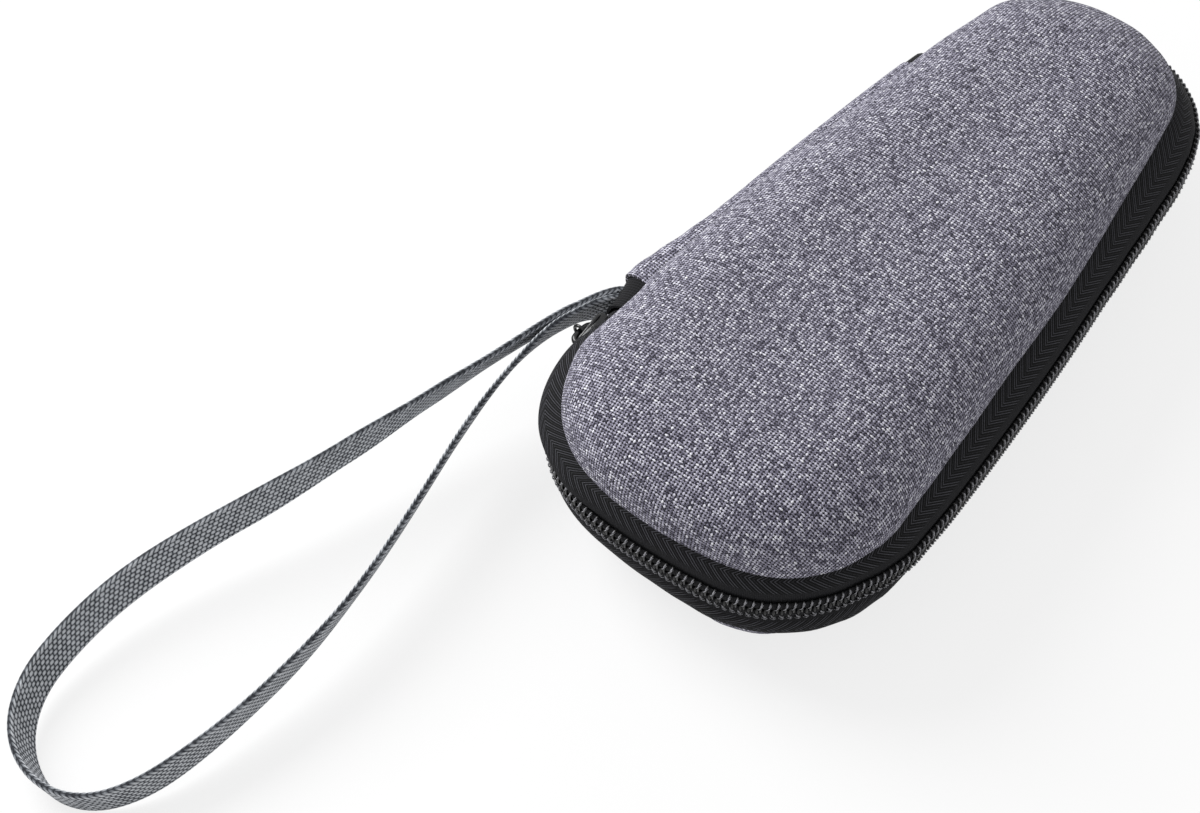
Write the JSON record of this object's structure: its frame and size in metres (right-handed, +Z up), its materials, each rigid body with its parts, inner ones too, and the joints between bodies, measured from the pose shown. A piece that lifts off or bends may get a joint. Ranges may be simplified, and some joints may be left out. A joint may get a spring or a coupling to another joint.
{
  "type": "travel case",
  "caption": "Egg-shaped travel case for a beard trimmer: padded cloth shells, coil zip round the rim, cloth hinge, webbing wrist strap, net pocket and elastic band inside.",
  "frame": {"origin": "centre of the flat bottom that the closed case rests on, below the middle of its length", "axes": "+X across the case from the hinge to the opening side, +Y along it from the wide end with the strap to the narrow end, +Z up"},
  "size_m": [0.148, 0.3313, 0.05],
  "materials": {
    "heather_cloth": "woven heather",
    "foam": "moulded foam",
    "lining": "knitted lining",
    "binding": "ribbed tape",
    "zip_tape": "herringbone tape",
    "zip_coil": "nylon coil",
    "slider_metal": "gloss black",
    "strap_webbing": "braided webbing",
    "net": "net",
    "elastic": "ribbed elastic"
  },
  "bodies": {
    "base": {"base_outer_cloth": "heather_cloth", "base_foam_shell": "foam", "base_lining": "lining", "base_binding": "binding", "base_zip_tape": "zip_tape", "base_zip_coil": "zip_coil", "hinge_cloth": "heather_cloth", "hinge_lining": "lining", "near_zip_tab": "zip_tape", "far_zip_tab": "zip_tape", "wrist_strap": "strap_webbing", "strap_anchor": "strap_webbing", "base_elastic_band": "elastic"},
    "lid": {"lid_outer_cloth": "heather_cloth", "lid_foam_shell": "foam", "lid_lining": "lining", "lid_binding": "binding", "lid_zip_tape": "zip_tape", "lid_zip_coil": "zip_coil", "lid_net_pocket": "net", "net_pocket_hem": "elastic"},
    "slider": {"slider_body": "slider_metal", "slider_bail": "slider_metal"},
    "pull": {"zip_pull": "slider_metal"}
  },
  "joints": [
    {"name": "lid_hinge", "type": "hinge", "parent": "base", "child": "lid", "pos_m": [-0.04383, 0.0069, 0.025], "axis": [-0.0938, -0.9956, 0], "range_deg": [0, 180], "deforming": ["hinge_cloth", "hinge_lining", "near_zip_tab", "far_zip_tab", "lid_zip_tape", "lid_zip_coil", "wrist_strap"]},
    {"name": "slider_run", "type": "hinge", "parent": "base", "child": "slider", "pos_m": [-0.01091, -0.06693, 0.025], "axis": [0, 0, 1], "range_deg": [0, 80], "deforming": ["base_zip_tape", "base_zip_coil"]},
    {"name": "pull_swing", "type": "hinge", "parent": "slider", "child": "pull", "pos_m": [-0.05351, -0.06249, 0.025], "axis": [0.0245, 0.9997, 0], "range_deg": [0, 170]}
  ]
}
